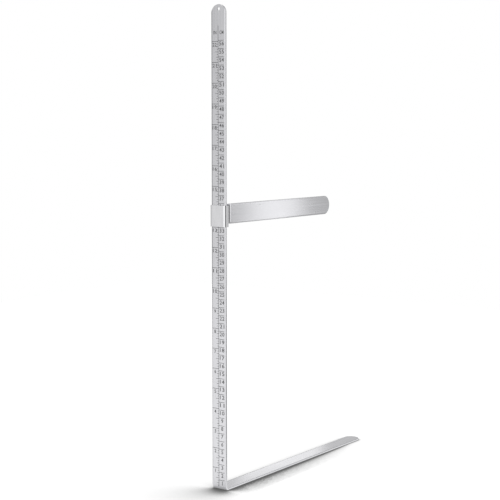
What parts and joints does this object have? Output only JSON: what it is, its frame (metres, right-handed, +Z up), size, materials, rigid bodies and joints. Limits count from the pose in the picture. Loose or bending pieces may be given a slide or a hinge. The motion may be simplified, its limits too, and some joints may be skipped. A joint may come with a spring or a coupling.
{
  "type": "measuring caliper",
  "caption": "Tall L-shaped caliper: a graduated strip with a hanging hole and a bent fixed jaw at its foot, and a folded sleeve that slides on it with a flat round-tipped jaw.",
  "frame": {"origin": "centre of the footprint of the whole caliper, on the surface that the fixed jaw lies on", "axes": "+Z up along the beam, +Y from the scale towards the tips of both jaws, +X to the right of someone who reads the scale"},
  "size_m": [0.025, 0.3314, 0.606],
  "materials": {
    "beam_aluminium": "satin brushed along the strip, with dark filled graduations",
    "sleeve_aluminium": "smooth bright sheet",
    "jaw_aluminium": "satin brushed along the strip",
    "rivet_aluminium": "plain formed heads",
    "spring_steel": "rolled spring steel"
  },
  "bodies": {
    "frame": {"beam": "beam_aluminium"},
    "slider": {"slider_sleeve": "sleeve_aluminium", "moving_jaw": "jaw_aluminium", "jaw_rivets": "rivet_aluminium", "friction_spring": "spring_steel"}
  },
  "joints": [
    {"name": "slider_slide", "type": "slide", "parent": "frame", "child": "slider", "axis": [0, 0, 1], "range_m": [-0.3302, 0.225]}
  ]
}
